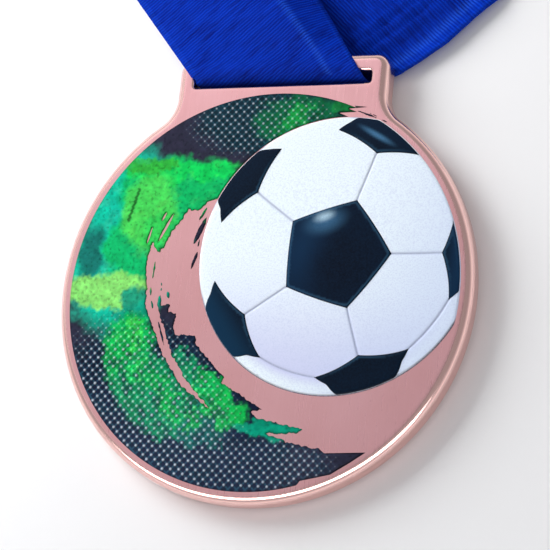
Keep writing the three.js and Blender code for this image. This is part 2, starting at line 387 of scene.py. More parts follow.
LAYER_ROW_STEP = 2.5  # between the rows of a folded layer
FOLD_LEFT, FOLD_RIGHT = BUNDLE_LOW[0] + 0.6, BUNDLE_HIGH[0] - 0.6
END_SHIFTS = [0.0, 0.9, 0.3, 1.3, 0.5, 1.0, 0.2, 1.1, 0.6]  # how far short each fold stops


def bundle_rows(x, flip):
    """Nine folded layers from the back leg's crease at x up to the lap on the top one."""
    rows = []
    z = BACK_Z + LAYER_STEP
    heading = -1
    for layer in range(LAYERS):
        top = layer == LAYERS - 1
        short = END_SHIFTS[layer]
        end = FOLD_LEFT + short if heading < 0 else FOLD_RIGHT - short
        if top:
            end = LAP_LOW[0]
        for step in np.linspace(0, 1, max(2, int(abs(end - x) / LAYER_ROW_STEP)) + 1)[1:]:
            at = x + (end - x) * step
            sag = 0.05 * math.sin(at * 0.21 + layer * 1.3)
            lift = (CLOTH + LAP_GAP) * smooth(-at, -LAP_HIGH[0] - 2.5, -LAP_HIGH[0]) if top else 0
            rows.append(layer_row(at, z + sag * (not top) + lift, flip))
        if not top:
            for angle in np.linspace(0, math.pi, 8)[1:]:
                rows.append(layer_row(
                    end + heading * FOLD_RADIUS * math.sin(angle),
                    z + FOLD_RADIUS * (1 - math.cos(angle)),
                    flip,
                ))
            z += LAYER_STEP
        x = end
        heading = -heading
    return rows


def front_leg():
    """Rows from the top of the bar to a straight, full-width row short of the bundle. The
    right quarter of the ribbon is turned down along a lengthways crease."""
    rows = []
    first = (BAR_Y - FRONT_CORNER[1]) / FRONT_ALONG[1]
    start_right = np.array([front_right_x(BAR_Y), BAR_Y])
    for u in np.linspace(0, 1, 60):
        left = FRONT_CORNER + (first + u * (FRONT_REACH - first)) * FRONT_ALONG
        flat_right = left + RIBBON_WIDTH * FRONT_SIDE
        gathered = start_right + u * GATHERED_RUN
        mix = smooth(u, 0, 1)
        right = gathered * (1 - mix) + flat_right * mix
        crease = CREASE_AT_SLOT + (CREASE_SHARE - CREASE_AT_SLOT) * smooth(u, 0, 0.8)
        drop = 2.4 * smooth(u, 0.05, 0.4) * (1 - smooth(u, 0.6, 1))
        turned = np.clip((SHARE - CREASE_SHARE) / (1 - CREASE_SHARE), 0, 1)
        peak = PEAK * (PEAK_AT_BAR + 0.9 * smooth(u, 0, 0.3)) * (1 - smooth(u, 0.6, 1))
        pucker = PUCKER * (1 - smooth(u, 0, 0.35))
        rise = (BAR_Z + BAR_CLEAR) * (1 - smooth(u, 0, 0.3)) + FRONT_Z * smooth(u, 0, 0.3)
        place = left + creased_shares(crease)[:, None] * (right - left)
        rows.append(cloth_row(*place.T, rise + peak + pucker - drop * turned))
    return rows, (left + flat_right) / 2


def front_left_x(y):
    """The front leg's left edge: straight, at the leg's own angle."""
    return FRONT_CORNER[0] + FRONT_ALONG[0] / FRONT_ALONG[1] * (y - FRONT_CORNER[1])


def front_right_x(y):
    """The front leg's right edge near the slot, where the cloth is gathered in."""
    return 12.3 - 0.595 * (y - 30.0)


SLOT_REACH = SLOT_HALF_LENGTH - 0.2  # as far sideways as the cloth goes in the slot
BAR_CLEAR = THICKNESS / 2 + 0.42  # from the bar's middle up to the cloth that crosses it


def slot_rows(last):
    """Rows round the bar: over it, down through the slot in a slack bend, and beneath."""
    middle, half_width, half_height = -0.6, 1.9, 1.7
    drop = BAR_CLEAR - half_height
    turns = np.radians(np.linspace(90, 180, 12))
    path = [(middle + half_width * math.cos(a), drop + half_height * math.sin(a)) for a in turns]
    path += [(middle - half_width, drop * k) for k in (0.4, -0.4)]
    path += [(y, -z) for y, z in path[11::-1]]
    rows = []
    for i, (y, z) in enumerate(path):
        low = smooth(-z, -1.6, 1.9)
        left = front_left_x(BAR_Y + y) * (1 - low) + last[0, 0] * low
        right = front_right_x(BAR_Y + y) * (1 - low) + last[-1, 0] * low
        if z < THICKNESS / 2 + 0.1:
            left, right = max(left, -SLOT_REACH), min(right, SLOT_REACH)
        crease = CREASE_AT_SLOT * (1 - low) + CREASE_SHARE * low
        x = left + creased_shares(crease) * (right - left)
        raised = (PEAK_AT_BAR * PEAK + PUCKER) * max(z, 0) / BAR_CLEAR
        rows.append(cloth_row(x, BAR_Y + y, BAR_Z + z + raised))
    return rows


def back_leg():
    """Rows from beneath the bar to a straight, full-width row short of the bundle. The
    right edge swings wide of the neck and turns up a little. Soft pleats right of the
    middle fade out at both ends."""
    rows = []
    corner = BACK_CORNER + 10.0 * BACK_ALONG
    edge_x = [12.9, 14.4, 16.4, 18.8, 22.8, 26.2, 29.5, corner[0]]
    edge_y = [31.5, 31.5, 32.0, 33.5, 36.4, 39.8, 42.9, corner[1]]
    knots = np.concatenate([[0], np.cumsum(np.hypot(np.diff(edge_x), np.diff(edge_y)))])
    start_left = np.array([-12.2, BAR_Y])
    for u in np.linspace(0, 1, 52):
        run = u * knots[-1]
        right = np.array([np.interp(run, knots, edge_x), np.interp(run, knots, edge_y)])
        if u == 0:
            right = np.array([edge_x[0], BAR_Y])
        flat_left = corner - RIBBON_WIDTH * BACK_SIDE
        left = start_left + u * (flat_left - start_left)
        fade = smooth(u, 0.03, 0.14) * (1 - smooth(u, 0.55, 0.95))
        pleats = 0.4 * (1 + np.cos(2 * math.pi * (SHARE * 11 - 2.2 * u)))
        pleats *= smooth(SHARE, 0.4, 0.52) * (1 - smooth(SHARE, 0.7, 0.8))
        turned_up = 1.3 * np.clip((SHARE - 0.88) / 0.12, 0, 1) * (1 - smooth(u, 0.6, 0.95))
        place = left + SHARE[:, None] * (right - left)
        rows.append(cloth_row(*place.T, BACK_Z + fade * (pleats + turned_up)))
    return rows, (corner + flat_left) / 2


def crease_highlight_lines(rows, share, width):
    """1 along a lengthways line of a leg's rows, fading out towards the bundle: where a painted
    highlight lies along a crease or fold.
    """
    fade = 1 - smooth(np.linspace(0, 1, rows), 0.6, 0.9)
    return fade[:, None] * np.exp(-((SHARE - share) / width) ** 2)


def strip_faces(rows):
    width = COLUMNS + 1
    return [
        (i * width + j, i * width + j + 1, (i + 1) * width + j + 1, (i + 1) * width + j)
        for i in range(rows - 1)
        for j in range(COLUMNS)
    ]


def row_steps(rows):
    """The mean distance from each row to the next."""
    return np.linalg.norm(np.diff(rows, axis=0), axis=2).mean(1)


def run_along(rows):
    """How far along the cloth each row of a segment lies, the same right across it."""
    reached = np.concatenate([[0], np.cumsum(row_steps(rows))])
    return reached[:, None] + np.zeros(COLUMNS + 1)


def run_down_front(rows):
    """The same down the front leg and round the bar, with the bend laid out flat."""
    flat = rows[:, :, :2].copy()
    steps = row_steps(rows)
    for i in range(1, len(rows)):
        if rows[i, 0, 1] < BAR_Y or rows[i, 0, 2] < BAR_Z:
            flat[i, :, 1] = flat[i - 1, :, 1] - steps[i - 1]
    return flat @ -FRONT_ALONG


def ribbon_segments():
    """The ribbon's stretches from the end sewn underneath the lap, down the front leg,
    round the bar, up the back leg and through the bundle to the end sewn on top. Each has
    its rows, what measures along them, and how strongly a painted highlight lies along its crease or
    fold."""
    front, front_end = front_leg()
    back, back_end = back_leg()
    to_bundle = folded_rows(front_end, FRONT_ALONG, FRONT_SIDE, FRONT_Z, 1, -1)
    under_lap = [
        layer_row(x, FRONT_Z - LAYER_STEP, 1)
        for x in np.linspace(to_bundle[-1][0, 0], LAP_HIGH[0], 24)[1:]
    ]
    from_bundle = folded_rows(back_end, BACK_ALONG, BACK_SIDE, BACK_Z, -1, 1)
    zigzag = bundle_rows(from_bundle[-1][0, 0], -1)
    slot = slot_rows(back[0])
    # Painted highlight lines: along the front leg's crease, over the bar, and along the back leg's
    # turned-up fold
    on_front = crease_highlight_lines(len(front), CREASE_SHARE, 0.02)
    on_bar = np.outer(np.arange(len(slot)) < 6, on_front[0])
    return [
        (under_lap[::-1] + to_bundle[:0:-1], run_along, 0.0),
        (front[::-1] + slot, run_down_front, np.concatenate([on_front[::-1], on_bar])),
        (back, lambda rows: rows[:, :, :2] @ BACK_ALONG, crease_highlight_lines(len(back), 0.88, 0.04)),
        (from_bundle[1:] + zigzag, run_along, 0.0),
    ]


def make_ribbon():
    """The whole ribbon as one strip, and its length in metres."""
    rows, lengths, crease_highlight = [], [], []
    reached = 0.0
    for segment, run, lines in ribbon_segments():
        segment = np.array(segment)
        along = run(segment)
        if rows:
            reached += np.linalg.norm(segment[0] - rows[-1][-1], axis=1).mean()
        along = along - along[0].mean() + reached
        reached = along[-1].mean()
        rows.append(segment)
        lengths.append(along)
        crease_highlight.append(np.broadcast_to(lines, along.shape))
    rows, lengths = np.concatenate(rows), np.concatenate(lengths)
    made = make_object("ribbon", rows.reshape(-1, 3), strip_faces(len(rows)))
    # How strongly the painted highlight lies along creases and folds, one value a vertex
    add_attribute(made, "crease_highlight", np.concatenate(crease_highlight).ravel())
    corner = np.empty(len(made.data.loops), int)
    made.data.loops.foreach_get("vertex_index", corner)
    pairs = np.stack([np.tile(ACROSS, len(rows)), lengths.reshape(-1)], 1)[corner]
    uv = made.data.uv_layers.new(name="cloth")
    uv.data.foreach_set("uv", pairs.astype(np.float32).ravel())
    thicken = made.modifiers.new("thickness", "SOLIDIFY")
    thicken.thickness = CLOTH * MM
    thicken.offset = 0
    middle = rows[:, COLUMNS // 2]
    return made, np.linalg.norm(np.diff(middle, axis=0), axis=1).sum() * MM


# ---- materials

def paint(red, green, blue):
    """A colour given as it looks on screen, 0 to 255."""
    channels = [c / 255 for c in (red, green, blue)]
    return tuple(c / 12.92 if c <= 0.04045 else ((c + 0.055) / 1.055) ** 2.4 for c in channels)


class Surface:
    """The node tree of a material, or of a world, filled in one node at a time."""

    def __init__(self, name, world=False, **settings):
        self.made = (bpy.data.worlds if world else bpy.data.materials).new(name)
        self.made.use_nodes = True
        self.tree = self.made.node_tree
        self.shader = self.tree.nodes["Background" if world else "Principled BSDF"]
        for socket, value in settings.items():
            self.shader.inputs[socket.replace("_", " ")].default_value = value

    def add(self, kind, inputs=None, **settings):
        node = self.tree.nodes.new("ShaderNode" + kind)
        for key, value in settings.items():
            setattr(node, key, value)
        for key, value in (inputs or {}).items():
            self.feed(node.inputs[key], value)
        return node

    def feed(self, socket, value):
        if isinstance(value, bpy.types.NodeSocket):
            self.tree.links.new(value, socket)
        else:
            socket.default_value = value

    def math(self, operation, *values):
        node = self.add("Math", operation=operation)
        for socket, value in zip(node.inputs, values):
            self.feed(socket, value)
        return node.outputs[0]

    def times(self, a, b):
        return self.math("MULTIPLY", a, b)

    def ramp(self, factor, *stops):
        node = self.add("ValToRGB", {"Fac": factor})
        elements = node.color_ramp.elements
        while len(elements) < len(stops):
            elements.new(0.5)
        for element, (place, value) in zip(elements, stops):
            element.position = place
            element.color = (*value, 1) if isinstance(value, tuple) else (value,) * 3 + (1,)
        return node.outputs["Color"]

    def mix(self, factor, a, b, mode="MIX"):
        node = self.add("Mix", data_type="RGBA", blend_type=mode)
        for name, value in (("Factor", factor), ("A", a), ("B", b)):
            socket = next(s for s in node.inputs if s.name == name and s.enabled)
            self.feed(socket, (*value, 1) if isinstance(value, tuple) else value)
        return next(s for s in node.outputs if s.enabled)

    def place(self, scale):
        """Object coordinates in millimetres, scaled by a triple."""
        coordinates = self.add("TexCoord").outputs["Object"]
        stretch = tuple(c / MM for c in scale)
        return self.add("Mapping", {"Vector": coordinates, "Scale": stretch}).outputs[0]

    def noise(self, vector, scale=1.0, detail=2.0, roughness=0.5):
        node = self.add("TexNoise", {
            "Vector": vector, "Scale": scale, "Detail": detail, "Roughness": roughness})
        return node.outputs["Fac"]

    def attribute(self, name, output="Fac"):
        return self.add("Attribute", attribute_name=name).outputs[output]

    def bump(self, height, distance, strength=1.0):
        return self.add("Bump", {
            "Height": height, "Distance": distance * MM, "Strength": strength}).outputs[0]

    def use(self, **sockets):
        for name, value in sockets.items():
            self.feed(self.shader.inputs[name.replace("_", " ")], value)
        return self.made


def copper():
    """Rose-copper plate, brushed lengthways and smoother on its rounded rims."""
    s = Surface("copper_plate", Metallic=1.0, Roughness=0.28, Anisotropic=0.3)
    strokes = s.noise(s.place((6.0, 0.12, 6.0)), detail=3.0, roughness=0.7)
    cloud = s.noise(s.place((0.09, 0.07, 0.09)), detail=2.0)
    tone = s.ramp(cloud, (0.3, paint(216, 160, 164)), (0.7, paint(224, 172, 178)))
    streaked = s.mix(s.ramp(strokes, (0.3, 0.0), (0.7, 0.14)), tone, paint(200, 140, 136))
    polish = s.attribute("polish")
    brushed = s.math("SUBTRACT", 1.0, polish)
    rough = s.ramp(strokes, (0.3, 0.26), (0.7, 0.34))
    rough = s.math("MULTIPLY_ADD", polish, -0.12, rough)
    tangent = s.add("CombineXYZ", {"X": 1.0, "Z": 0.05}).outputs[0]
    return s.use(
        Base_Color=s.mix(polish, streaked, paint(238, 196, 190)),
        Roughness=rough,
        Tangent=tangent,
        Normal=s.bump(s.times(strokes, brushed), 0.012, 0.5),
    )


def cloth():
    """Royal blue grosgrain, ribbed across, with darker slubs and a painted highlight along its creases
    and folds.
    """
    s = Surface("ribbon_cloth", Roughness=0.7, Specular_IOR_Level=0.04, Sheen_Weight=0.06,
                Sheen_Roughness=0.4)
    uv = s.add("UVMap", uv_map="cloth").outputs[0]

    def streaks(across, along, detail=2.0):
        scale = (across, along, 1)
        return s.noise(s.add("Mapping", {"Vector": uv, "Scale": scale}).outputs[0], detail=detail)

    parts = s.add("SeparateXYZ", {"Vector": uv})
    across, along = parts.outputs["X"], parts.outputs["Y"]
    wobble = streaks(0.6, 0.35)
    shifted = s.math("ADD", along, s.times(wobble, 0.25))
    rib = s.math("SINE", s.times(shifted, 2 * math.pi / RIB_PITCH))
    thread = s.math("SINE", s.times(across, 2 * math.pi / THREAD_PITCH))
    over = s.times(thread, s.times(rib, 0.5))
    weave = s.math("ADD", s.times(rib, 0.42), s.math("MULTIPLY_ADD", over, 0.3, 0.5))
    edge = s.math("GREATER_THAN", s.math("ABSOLUTE", across), HALF - SELVEDGE)
    fuzz, broad, slub = streaks(5, 2.2, 3.0), streaks(0.12, 0.3), streaks(0.3, 1.6)
    base = s.ramp(weave, (0.0, paint(0, 20, 122)), (1.0, paint(0, 58, 190)))
    base = s.mix(s.times(fuzz, 0.35), base, paint(0, 24, 140))
    base = s.mix(s.ramp(slub, (0.3, 0.7), (0.55, 0.0)), base, paint(0, 10, 88))
    base = s.mix(s.ramp(broad, (0.35, 0.0), (0.7, 0.25)), base, paint(4, 62, 212))
    base = s.mix(s.times(edge, 0.1), base, paint(20, 84, 230))
    # Painted highlight: paler blue along the front leg's crease and the back leg's turned-up fold
    crease_highlight = s.attribute("crease_highlight")
    overlay_share = s.times(crease_highlight, s.math("MULTIPLY_ADD", weave, 0.6, 0.0))
    base = s.mix(overlay_share, base, paint(40, 96, 226))
    height = s.math("ADD", weave, s.times(fuzz, 0.4))
    return s.use(Base_Color=base, Normal=s.bump(height, 0.06, 0.9), Sheen_Tint=(*paint(20, 70, 255), 1))


def diagonal_net(s):
    """1 on the thin ridges that join the dots and 0 in the pits between them."""
    parts = s.add("SeparateXYZ", {"Vector": s.place((1 / DOT_PITCH,) * 3)})
    across, along = parts.outputs["X"], parts.outputs["Y"]
    lines = []
    for operation in ("ADD", "SUBTRACT"):
        phase = s.math(operation, across, along)
        lines.append(s.math("PINGPONG", phase, 0.5))
    nearest = s.math("MINIMUM", *lines)
    return s.ramp(nearest, (0.06, 1.0), (0.2, 0.0))


def inked():
    """Turf ink: its painted colours, fine mottling, the net between its raised dots with painted
    shade in its pits and a painted highlight on its ridges, and painted highlights (glints) on the dots
    themselves."""
    s = Surface("turf_ink", Roughness=0.45, Specular_IOR_Level=0.04)
    tone = s.attribute("paint", "Color")
    painted_glint = s.attribute("painted_glint")
    dotted = s.attribute("dotted")
    grain = s.noise(s.place((2.6, 2.6, 2.6)), detail=4.0, roughness=0.65)
    light = s.mix(s.ramp(grain, (0.5, 0.0), (0.75, 0.3)), tone, paint(90, 214, 150), "SOFT_LIGHT")
    dark = s.mix(s.ramp(grain, (0.25, 0.32), (0.5, 0.0)), light, paint(8, 44, 44))
    net = diagonal_net(s)
    # Painted shade in the pits between the net's ridges, and a painted highlight on the ridges,
    # following the bumps
    pits = s.times(s.math("SUBTRACT", 1.0, net), s.times(dotted, 0.28))
    pit_shaded = s.mix(pits, dark, paint(4, 10, 24))
    ridges = s.times(net, s.times(dotted, 0.16))
    ridge_lit = s.mix(ridges, pit_shaded, paint(80, 160, 190))
    # Painted highlight: the dots' tops laid over with near white
    glinting = s.mix(painted_glint, ridge_lit, paint(226, 240, 255))
    height = s.math("ADD", grain, s.times(net, dotted))
    return s.use(Base_Color=glinting, Normal=s.bump(height, 0.03, 0.5))


def ball_white():
    s = Surface("white_ink", Roughness=0.4, Coat_Weight=0.25, Coat_Roughness=0.25)
    tone = s.attribute("paint", "Color")
    grain = s.noise(s.place((4.5, 4.5, 4.5)), detail=3.0, roughness=0.7)
    speckled = s.mix(s.ramp(grain, (0.35, 0.45), (0.55, 0.0)), tone, paint(190, 200, 232))
    return s.use(Base_Color=speckled, Normal=s.bump(grain, 0.02, 0.35))


def ball_black():
    s = Surface("black_ink", Roughness=0.25, Specular_IOR_Level=0.07)
    tone = s.attribute("paint", "Color")
    grain = s.noise(s.place((3.5, 3.5, 3.5)), detail=3.0, roughness=0.6)
    mottled = s.mix(s.ramp(grain, (0.35, 0.0), (0.75, 0.25)), tone, paint(12, 44, 74))
    return s.use(Base_Color=mottled, Normal=s.bump(grain, 0.01, 0.25))


def thread_blue():
    s = Surface("thread", Roughness=0.6, Sheen_Weight=0.3)
    twist = s.add("TexWave", {"Vector": s.place((1, 1, 1)), "Scale": 1.6, "Distortion": 1.0},
                  wave_type="BANDS", bands_direction="DIAGONAL").outputs["Fac"]
    tone = s.ramp(twist, (0.2, paint(10, 34, 150)), (0.8, paint(40, 88, 220)))
    return s.use(Base_Color=tone, Normal=s.bump(twist, 0.05))


def elastic():
    s = Surface("elastic", Roughness=0.55)
    grain = s.noise(s.place((0.5, 3.0, 3.0)), detail=3.0)
    tone = s.ramp(grain, (0.3, paint(206, 192, 158)), (0.7, paint(224, 214, 186)))
    return s.use(Base_Color=tone, Normal=s.bump(grain, 0.03, 0.5))


def dress(made, material, body="medal"):
    made.data.materials.clear()
    made.data.materials.append(material)
    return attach(made, body)


# ---- medal blank

def blank_outline():
    """The disc and its neck: straight sides and concave fillets that run into the disc."""
    side = NECK_HALF_WIDTH + NECK_FILLET
    height = math.sqrt((DISC_RADIUS + NECK_FILLET) ** 2 - side ** 2)
    meet = math.degrees(math.atan2(height, side))
    corner, corner_y = NECK_HALF_WIDTH - NECK_CORNER, NECK_TOP - NECK_CORNER
    return np.concatenate([
        arc((corner, corner_y), NECK_CORNER, 0, 90, 12),
        arc((-corner, corner_y), NECK_CORNER, 90, 180, 12),
        arc((-side, height), NECK_FILLET, 0, -meet, 18),
        arc((0, 0), DISC_RADIUS, 180 - meet, 360 + meet, 252)[1:-1],
        arc((side, height), NECK_FILLET, 180 + meet, 180, 18),
    ])


def slot_outline():
    half = (SLOT_HALF_LENGTH, (SLOT_TOP - SLOT_BOTTOM) / 2)
    return rounded_box((SLOT_TOP + SLOT_BOTTOM) / 2, half, SLOT_CORNER, 5)


def inset(loop, distance):
    """A counter-clockwise loop moved inwards by distance."""
    return loop + distance * leftwards(np.roll(loop, -1, axis=0) - np.roll(loop, 1, axis=0))


def rounded_rings(loop, radius, sign):
    """Rings down an edge: the flat face's border, the top rounding, the wall and the
    rounding below. sign is 1 for the outside and -1 for a hole's edge."""
    rings = [(radius + 0.3, THICKNESS)]
    turns = np.radians(np.linspace(90, 0, 9))
    rings += [(radius * (1 - math.cos(a)), THICKNESS - radius * (1 - math.sin(a))) for a in turns]
    rings += [(inward, THICKNESS - z) for inward, z in reversed(rings)]
    return [np.column_stack([inset(loop, sign * d), np.full(len(loop), z)]) for d, z in rings]


def make_blank():
    outer = rounded_rings(densified(blank_outline(), 0.8), EDGE_ROUND, 1)
    hole = rounded_rings(densified(slot_outline(), 0.8), SLOT_ROUND, -1)
    vertices, faces = [], []
    for rings, flip in ((outer, True), (hole, False)):
        faces += wall_faces(len(vertices), len(rings), len(rings[0]), flip)
        vertices.extend(np.concatenate(rings))
    for z, k in ((THICKNESS, 0), (0.0, -1)):
        flat, triangles = triangulated([outer[k][:, :2], hole[k][:, :2]], 2.5, 0.8)
        start = len(vertices)
        vertices.extend(np.column_stack([flat, np.full(len(flat), z)]))
        for triangle in triangles:
            corners = tuple(start + int(i) for i in triangle)
            faces.append(corners if k == 0 else corners[::-1])
    made = make_object("medal_plate", on_medal(vertices), faces)
    level = np.array(vertices)[:, 2]
    add_attribute(made, "polish", (level > 0.02) & (level < THICKNESS - 0.02))
    mesh = bmesh.new()
    mesh.from_mesh(made.data)
    bmesh.ops.remove_doubles(mesh, verts=mesh.verts, dist=1e-6)
    bmesh.ops.recalc_face_normals(mesh, faces=mesh.faces)
    mesh.to_mesh(made.data)
    mesh.free()
    return made


# ---- printed face

# The turf's inner edge, from the lower right up to the ball's left side: the brush marks'
# tips, the island they leave, and the bare streak round it
BRUSH_EDGE = [
    (11.2, -22.2), (6.8, -21.4), (3.4, -20.3), (7.8, -20.1), (8.4, -19.5), (1.5, -18.2),
    (0.9, -17.4), (2.4, -17.0), (-3.8, -13.5), (-3.6, -12.8), (-8.1, -8.3), (-8.6, -7.0),
    (-10.2, -6.9), (-11.4, -6.8), (-11.9, -5.9), (-11.8, -4.9), (-11.7, -3.9), (-12.8, -3.6),
    (-12.8, -2.5), (-13.5, -2.7), (-14.1, -2.7), (-14.4, -1.1), (-14.8, -2.0), (-14.5, -3.2),
    (-13.9, -4.7), (-13.2, -6.1), (-12.4, -8.2), (-11.6, -9.8), (-9.1, -13.3), (-5.4, -17.0),
    (-9.8, -14.0), (-13.2, -9.4), (-14.6, -6.6), (-15.4, -4.9), (-16.0, -3.8), (-16.5, -2.4),
    (-16.6, -0.6), (-16.8, 1.1), (-17.1, 3.1), (-17.0, 4.5), (-16.8, 5.5), (-16.5, 6.5),
    (-15.8, 5.2), (-15.3, 5.0), (-14.5, 6.0), (-14.2, 7.2), (-13.4, 8.6), (-12.6, 9.4),
    (-12.0, 10.8), (-11.7, 11.3), (-11.2, 11.0), (-10.8, 11.2), (-10.2, 11.0), (-9.4, 11.8),
    (-8.8, 12.5),
]
# Single brush marks: both ends and the widest part
MARKS = [
    (-8.9, 11.6, -10.0, 9.5, 0.4), (-8.8, 10.2, -10.4, 6.0, 0.75), (-9.6, 5.1, -10.3, 2.5, 0.45),
    (-9.5, 7.0, -9.65, 5.7, 0.2), (-16.0, -0.1, -15.9, -1.3, 0.3),
    (-15.7, -1.9, -15.3, -3.3, 0.3), (-15.8, 4.0, -15.9, 1.0, 0.25), (-14.5, 0.6, -14.4, 0.1, 0.25),
    (-14.4, -0.2, -14.4, -0.6, 0.2), (-13.4, -0.7, -13.1, -1.7, 0.5), (-14.4, -4.7, -12.9, -8.6, 0.3),
    (11.4, 25.45, 15.6, 23.95, 0.3), (13.1, 25.25, 16.6, 23.3, 0.2),
]
# Bare slits inside the turf
SLITS = [
    (-13.9, 10.6, -15.7, 6.6, 0.32), (-15.0, 10.8, -15.5, 9.7, 0.25), (-16.9, 8.6, -17.4, 6.4, 0.2),
]


def brush_mark(x0, y0, x1, y1, width):
    """A thin leaf from one point to the other, anticlockwise."""
    start, end = np.array([x0, y0]), np.array([x1, y1])
    along = end - start
    across = np.array([along[1], -along[0]]) / np.hypot(*along) * width / 2
    shares = np.linspace(0, 1, 7)
    near = [start + along * t + across * math.sin(math.pi * t) ** 0.5 for t in shares]
    far = [start + along * t - across * math.sin(math.pi * t) ** 0.5 for t in shares[-2:0:-1]]
    return np.array(near + far)


def turf_loops():
    """The turf's outline, its loose brush marks, and the slits in it, which are holes."""
    rim = arc((0, 0), PRINT_RADIUS, 66, 287, 240)
    lower = np.array([(8.7, -26.5), (12.8, -25.5), (15.4, -23.8), (17.5, -22.3), (11.7, -22.6)])
    streaks = ragged(np.array(BRUSH_EDGE), 0.25, 3.0, closed=False)[1:]
    ball = arc(BALL_CENTRE, BALL_RADIUS + BALL_GAP, 156, 90, 60)
    top = np.array([(9.3, 25.1), (12.9, 24.8), (10.6, 25.7), (13.6, 25.9), (11.2, 26.2)])
    loops = [np.concatenate([rim, lower, streaks, ball, top])]
    loops += [ragged(brush_mark(*mark), 0.07, 5.0 + i) for i, mark in enumerate(MARKS)]
    loops += [ragged(brush_mark(*slit), 0.05, 25.0 + i)[::-1] for i, slit in enumerate(SLITS)]
    return loops


def ellipse_share(points, x, y, rx, ry, turn, solid, end):
    """1 inside the solid part of an ellipse, fading to 0 at end of its half sizes."""
    c, s = math.cos(math.radians(turn)), math.sin(math.radians(turn))
    dx, dy = points[:, 0] - x, points[:, 1] - y
    reach = np.hypot((dx * c + dy * s) / rx, (dy * c - dx * s) / ry)
    return 1 - smooth(reach, solid, end)


def laid_over(base, colour, share):
    """A screen colour laid over base colours, by a share for each point."""
    return base * (1 - share[:, None]) + np.array(paint(*colour)) * share[:, None]


def blobs(points, strokes, colour):
    """Colours painted at points. Each stroke is an ellipse laid over those before: colour,
    middle, half sizes, turn, the part of it with no fading, and strength."""
    result = np.tile(np.array(paint(*colour)), (len(points), 1))
    for shade, *place, solid, strength in strokes:
        share = strength * ellipse_share(points, *place, solid, 1.1)
        result = laid_over(result, shade, share)
    return result


# Each stroke as blobs() takes it, from the turf's dark ground up
TURF_STROKES = [
    ((14, 26, 54), -10, -18, 18, 12, -25, 0.82, 0.9),
    ((14, 44, 56), 0, 25, 12, 6, 0, 0.82, 0.9),
    ((8, 106, 60), 3, 24.3, 6.5, 4, 0, 0.82, 0.9),
    ((20, 166, 66), 3.0, 24, 3.4, 1.9, 35, 0.82, 0.8),
    ((20, 130, 60), 9.5, 26.2, 2, 1.2, 0, 0.82, 0.8),
    ((4, 190, 158), -21, 7, 10, 14, 0, 0.82, 0.95),
    ((20, 80, 84), -26, 5, 2.6, 5, 0, 0.5, 0.8),
    ((8, 182, 98), -13, 14.3, 10.5, 5, 0, 0.82, 0.95),
    ((14, 204, 88), -13, 17, 9.5, 1.7, 0, 0.82, 0.9),
    ((50, 165, 50), -18.5, 18, 4.5, 1.1, 0, 0.82, 0.8),
    ((12, 180, 96), -18, 6, 6, 6, 0, 0.82, 0.9),
    ((74, 208, 84), -17.5, 11, 4.5, 6.2, 0, 0.72, 0.85),
    ((40, 198, 86), -15.5, 8, 3.3, 3.3, 0, 0.72, 0.7),
    ((140, 224, 110), -22.5, -0.7, 7.5, 2.7, 0, 0.82, 0.95),
    ((6, 152, 124), -17.8, -4, 3, 4, 0, 0.82, 0.95),
    ((2, 190, 84), -18, -9.5, 4, 5.8, 0, 0.82, 0.9),
    ((60, 226, 84), -17.5, -9, 1.4, 4.4, 0, 0.82, 0.8),
    ((0, 162, 96), -14, -15, 7, 5, -35, 0.82, 0.9),
    ((0, 156, 100), -10, -18, 5, 3.6, 0, 0.82, 0.9),
    ((0, 210, 84), -11, -17, 2, 2, 0, 0.82, 0.8),
    ((8, 118, 104), -6, -20.5, 4, 2, 0, 0.82, 0.8),
    ((2, 190, 86), -6, -14.5, 4.6, 2.6, -35, 0.82, 0.95),
    ((4, 200, 82), -2.5, -17.5, 3.6, 2.2, -30, 0.82, 0.9),
    ((0, 156, 124), 4, -19.6, 6, 1.5, 0, 0.82, 0.95),
    ((6, 158, 100), -9.5, -11.5, 1.8, 3, 30, 0.82, 0.9),
    ((4, 196, 84), -19.5, -8.2, 2.2, 1.5, 40, 0.82, 0.9),
    ((20, 208, 92), -16.8, -12.2, 2.4, 1.2, 50, 0.82, 0.9),
    ((4, 190, 84), -13.2, -13.6, 2.0, 1.3, -30, 0.82, 0.9),
    ((2, 186, 80), -7.6, -19.0, 1.8, 1.0, -20, 0.82, 0.9),
]


def wander(points, pitch, seed):
    """Smooth noise at each point, about -1 to 1. pitch is its scale in millimetres."""
    return np.array([noise.noise(Vector((x / pitch, y / pitch, seed))) for x, y in points])


def shaken(points, pitch, *seeds):
    """An offset for each point, from one smooth noise for x and another for y."""
    return np.stack([wander(points, pitch, seed) for seed in seeds], 1)


def turf_paint(points):
    """The turf's colours: strokes with edges broken up by noise, and blotches over all."""
    dotted = dot_strength(points)[:, None]
    drag = shaken(points, 2.2, 1.0, 7.0) * 1.3
    drag += shaken(points, 0.6, 2.0, 9.0) * (0.55 + 0.65 * dotted)
    result = blobs(points + drag, TURF_STROKES, (44, 42, 62))
    overlay_share = smooth(wander(points, 1.7, 31.0) + 0.7 * wander(points, 0.5, 33.0), 0.05, 0.45)
    result = laid_over(result, (12, 44, 62), 0.7 * overlay_share * dotted[:, 0])
    blotch = wander(points, 1.5, 3.0) + 0.8 * wander(points, 0.55, 5.0)
    result *= 1 + (0.32 + 0.25 * dotted) * np.clip(blotch, -1, 1)[:, None]
    yellow = smooth(wander(points, 1.9, 12.0) + 0.5 * wander(points, 0.5, 14.0), 0.1, 0.6)
    result[:, 0] += 0.05 * yellow * np.maximum(result[:, 1] - 0.2, 0)
    speck = smooth(wander(points, 0.42, 21.0), 0.25, 0.5) * 0.4
    result *= 1 - speck[:, None]
    cool = smooth(-points[:, 1], 10, 24)[:, None] * dotted
    result += 0.8 * cool * np.array([0.02, 0.024, 0.045])
    scratch = np.abs((points[:, 0] + 20.1) - 0.25 * (points[:, 1] - 12)) < 0.22
    result[scratch & (np.abs(points[:, 1] - 12) < 2.5)] *= 0.3
    return np.clip(result, 0, 1)


